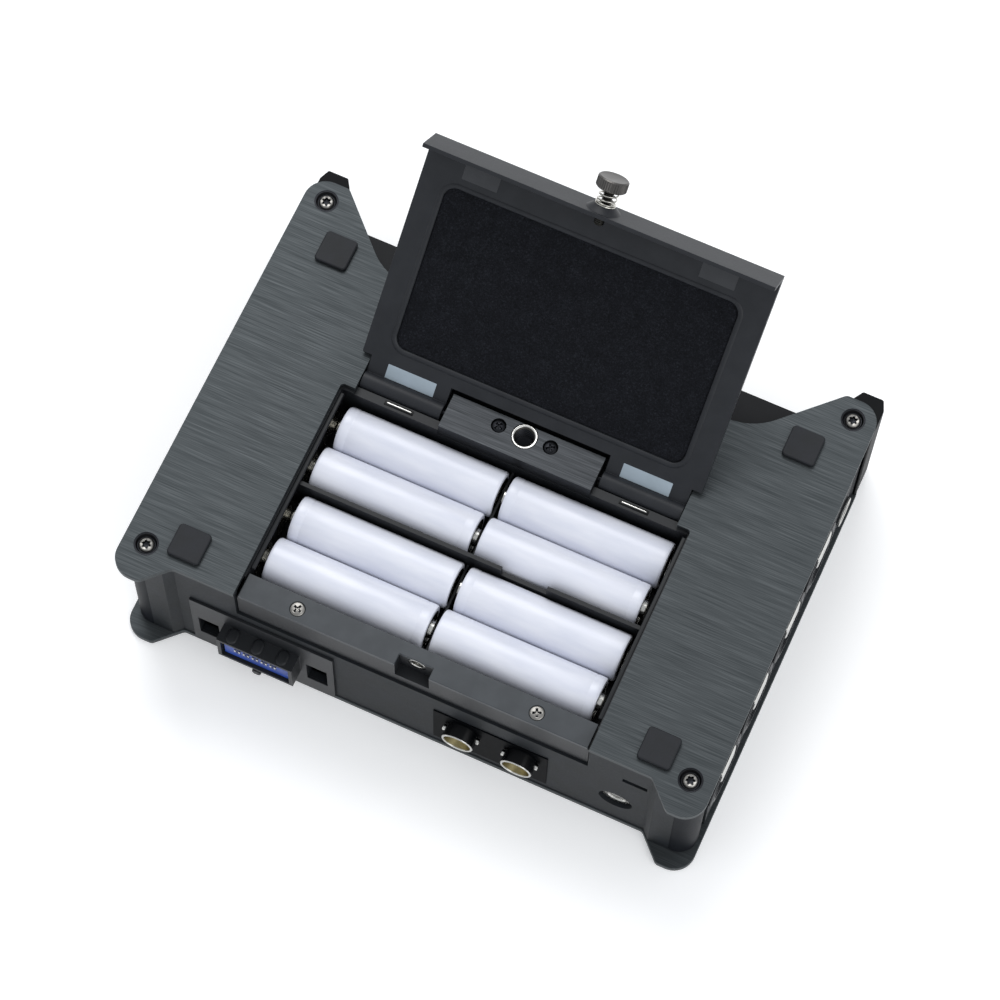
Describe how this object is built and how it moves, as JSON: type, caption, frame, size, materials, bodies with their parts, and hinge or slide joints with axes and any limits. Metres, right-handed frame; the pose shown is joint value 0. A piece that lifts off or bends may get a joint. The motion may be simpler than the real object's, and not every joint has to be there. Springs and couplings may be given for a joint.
{
  "type": "portable field recorder",
  "caption": "Multitrack field recorder lying on its top cover, underside up, with its battery door swung open over a bay of cells; connectors at the rear and both sides, controls at the front.",
  "frame": {"origin": "middle of the four corner screws, on the top cover's outer face, which is underneath here", "axes": "+Z out of the underside, which faces up here; +X the long way, to the side with inputs 5 to 8; +Y to the front panel with the knobs"},
  "size_m": [0.1782, 0.1439, 0.1151],
  "materials": {
    "plate": "dark brushed, anodised",
    "cover": "dark brushed, anodised",
    "panel": "satin powder coat",
    "post": "black, satin",
    "screw": "bright nickel plate",
    "blackscrew": "black oxide",
    "rubber": "matt",
    "bumper": "moulded, fine grain",
    "tray": "moulded",
    "wrap": "white shrink sleeve",
    "contact": "nickel-plated spring steel",
    "strip": "grey, smooth",
    "bush": "turned",
    "door": "satin powder coat",
    "felt": "pressed felt",
    "thumb": "knurled, nickel plate",
    "nut": "nickel-plated",
    "port": "moulded",
    "insert": "blue, moulded",
    "syncplate": "glossy",
    "barrel": "nickel plate",
    "socket": "moulded",
    "jack": "moulded",
    "knob": "soft touch",
    "key": "silicone",
    "glass": "clear, hard-coated",
    "board": "green solder mask"
  },
  "bodies": {
    "case": {"bottom_plate": "plate", "top_cover": "cover", "corner_posts": "post", "cover_screws": "screw", "front_bumpers": "bumper", "rubber_feet": "rubber", "rear_panel": "panel", "left_side_panel": "panel", "right_side_panel": "panel", "front_panel": "panel", "battery_tray": "tray", "battery_contacts": "contact", "latch_strip": "strip", "small_screws": "blackscrew", "tripod_mount": "strip", "tripod_bush": "bush", "hinge_pins": "screw", "thumbscrew_nut": "nut", "option_port": "port", "option_port_insert": "insert", "sync_panel": "syncplate", "sync_jacks": "barrel", "power_inlet": "socket", "data_socket": "barrel", "left_jacks": "jack", "right_jacks": "jack", "track_keypad": "key", "display_window": "glass", "circuit_boards": "board"},
    "door": {"battery_door": "door", "door_lining": "felt", "thumbscrew_spring": "contact"},
    "screw_clip": {"thumbscrew_clip": "contact"},
    "thumbscrew": {"thumbscrew": "thumb"},
    "battery_1": {"battery_1": "wrap"},
    "battery_2": {"battery_2": "wrap"},
    "battery_3": {"battery_3": "wrap"},
    "battery_4": {"battery_4": "wrap"},
    "battery_5": {"battery_5": "wrap"},
    "battery_6": {"battery_6": "wrap"},
    "battery_7": {"battery_7": "wrap"},
    "battery_8": {"battery_8": "wrap"},
    "trim_knob_1": {"trim_knob_1": "knob"},
    "trim_knob_2": {"trim_knob_2": "knob"},
    "trim_knob_3": {"trim_knob_3": "knob"},
    "trim_knob_4": {"trim_knob_4": "knob"},
    "trim_knob_5": {"trim_knob_5": "knob"},
    "trim_knob_6": {"trim_knob_6": "knob"},
    "trim_knob_7": {"trim_knob_7": "knob"},
    "trim_knob_8": {"trim_knob_8": "knob"},
    "menu_dial": {"menu_dial": "knob"},
    "phones_knob": {"phones_knob": "knob"},
    "back_key": {"back_key": "key"},
    "record_key": {"record_key": "key"},
    "stop_key": {"stop_key": "key"},
    "play_key": {"play_key": "key"},
    "forward_key": {"forward_key": "key"},
    "power_key": {"power_key": "key"},
    "port_release": {"port_release": "port"}
  },
  "joints": [
    {"name": "door_hinge", "type": "hinge", "parent": "case", "child": "door", "pos_m": [0, 0.0132, 0.0498], "axis": [1, 0, 0], "range_deg": [0, 135.4]},
    {"name": "thumbscrew_push", "type": "slide", "parent": "door", "child": "screw_clip", "axis": [0, -0.712, -0.7022], "range_m": [0, 0.0015], "stiffness_N_per_m": 800, "springref_m": -0.0006, "deforming": ["thumbscrew_spring"]},
    {"name": "thumbscrew_turn", "type": "hinge", "parent": "screw_clip", "child": "thumbscrew", "pos_m": [0, 0.06307, 0.10348], "axis": [0, -0.712, -0.7022], "continuous": true},
    {"name": "battery_1_lift", "type": "slide", "parent": "case", "child": "battery_1", "axis": [0, 0, -1], "range_m": [-0.03, 0]},
    {"name": "battery_2_lift", "type": "slide", "parent": "case", "child": "battery_2", "axis": [0, 0, -1], "range_m": [-0.03, 0]},
    {"name": "battery_3_lift", "type": "slide", "parent": "case", "child": "battery_3", "axis": [0, 0, -1], "range_m": [-0.03, 0]},
    {"name": "battery_4_lift", "type": "slide", "parent": "case", "child": "battery_4", "axis": [0, 0, -1], "range_m": [-0.03, 0]},
    {"name": "battery_5_lift", "type": "slide", "parent": "case", "child": "battery_5", "axis": [0, 0, -1], "range_m": [-0.03, 0]},
    {"name": "battery_6_lift", "type": "slide", "parent": "case", "child": "battery_6", "axis": [0, 0, -1], "range_m": [-0.03, 0]},
    {"name": "battery_7_lift", "type": "slide", "parent": "case", "child": "battery_7", "axis": [0, 0, -1], "range_m": [-0.03, 0]},
    {"name": "battery_8_lift", "type": "slide", "parent": "case", "child": "battery_8", "axis": [0, 0, -1], "range_m": [-0.03, 0]},
    {"name": "trim_knob_1_turn", "type": "hinge", "parent": "case", "child": "trim_knob_1", "pos_m": [-0.07, 0.06, 0.035], "axis": [0, 1, 0], "range_deg": [-150, 150]},
    {"name": "trim_knob_2_turn", "type": "hinge", "parent": "case", "child": "trim_knob_2", "pos_m": [-0.0578, 0.06, 0.035], "axis": [0, 1, 0], "range_deg": [-150, 150]},
    {"name": "trim_knob_3_turn", "type": "hinge", "parent": "case", "child": "trim_knob_3", "pos_m": [-0.0456, 0.06, 0.035], "axis": [0, 1, 0], "range_deg": [-150, 150]},
    {"name": "trim_knob_4_turn", "type": "hinge", "parent": "case", "child": "trim_knob_4", "pos_m": [-0.0334, 0.06, 0.035], "axis": [0, 1, 0], "range_deg": [-150, 150]},
    {"name": "trim_knob_5_turn", "type": "hinge", "parent": "case", "child": "trim_knob_5", "pos_m": [-0.0212, 0.06, 0.035], "axis": [0, 1, 0], "range_deg": [-150, 150]},
    {"name": "trim_knob_6_turn", "type": "hinge", "parent": "case", "child": "trim_knob_6", "pos_m": [-0.009, 0.06, 0.035], "axis": [0, 1, 0], "range_deg": [-150, 150]},
    {"name": "trim_knob_7_turn", "type": "hinge", "parent": "case", "child": "trim_knob_7", "pos_m": [0.0032, 0.06, 0.035], "axis": [0, 1, 0], "range_deg": [-150, 150]},
    {"name": "trim_knob_8_turn", "type": "hinge", "parent": "case", "child": "trim_knob_8", "pos_m": [0.0154, 0.06, 0.035], "axis": [0, 1, 0], "range_deg": [-150, 150]},
    {"name": "menu_dial_turn", "type": "hinge", "parent": "case", "child": "menu_dial", "pos_m": [0.0712, 0.06, 0.014], "axis": [0, 1, 0], "continuous": true},
    {"name": "phones_knob_turn", "type": "hinge", "parent": "case", "child": "phones_knob", "pos_m": [0.0712, 0.06, 0.03], "axis": [0, 1, 0], "range_deg": [-150, 150]},
    {"name": "back_key_press", "type": "slide", "parent": "case", "child": "back_key", "axis": [0, -1, 0], "range_m": [0, 0.0008], "stiffness_N_per_m": 500, "springref_m": -0.001},
    {"name": "record_key_press", "type": "slide", "parent": "case", "child": "record_key", "axis": [0, -1, 0], "range_m": [0, 0.0008], "stiffness_N_per_m": 500, "springref_m": -0.001},
    {"name": "stop_key_press", "type": "slide", "parent": "case", "child": "stop_key", "axis": [0, -1, 0], "range_m": [0, 0.0008], "stiffness_N_per_m": 500, "springref_m": -0.001},
    {"name": "play_key_press", "type": "slide", "parent": "case", "child": "play_key", "axis": [0, -1, 0], "range_m": [0, 0.0008], "stiffness_N_per_m": 500, "springref_m": -0.001},
    {"name": "forward_key_press", "type": "slide", "parent": "case", "child": "forward_key", "axis": [0, -1, 0], "range_m": [0, 0.0008], "stiffness_N_per_m": 500, "springref_m": -0.001},
    {"name": "power_key_press", "type": "slide", "parent": "case", "child": "power_key", "axis": [0, -1, 0], "range_m": [0, 0.0008], "stiffness_N_per_m": 500, "springref_m": -0.001},
    {"name": "port_release_press", "type": "slide", "parent": "case", "child": "port_release", "axis": [0, 1, 0], "range_m": [0, 0.0015], "stiffness_N_per_m": 300, "springref_m": -0.001}
  ]
}
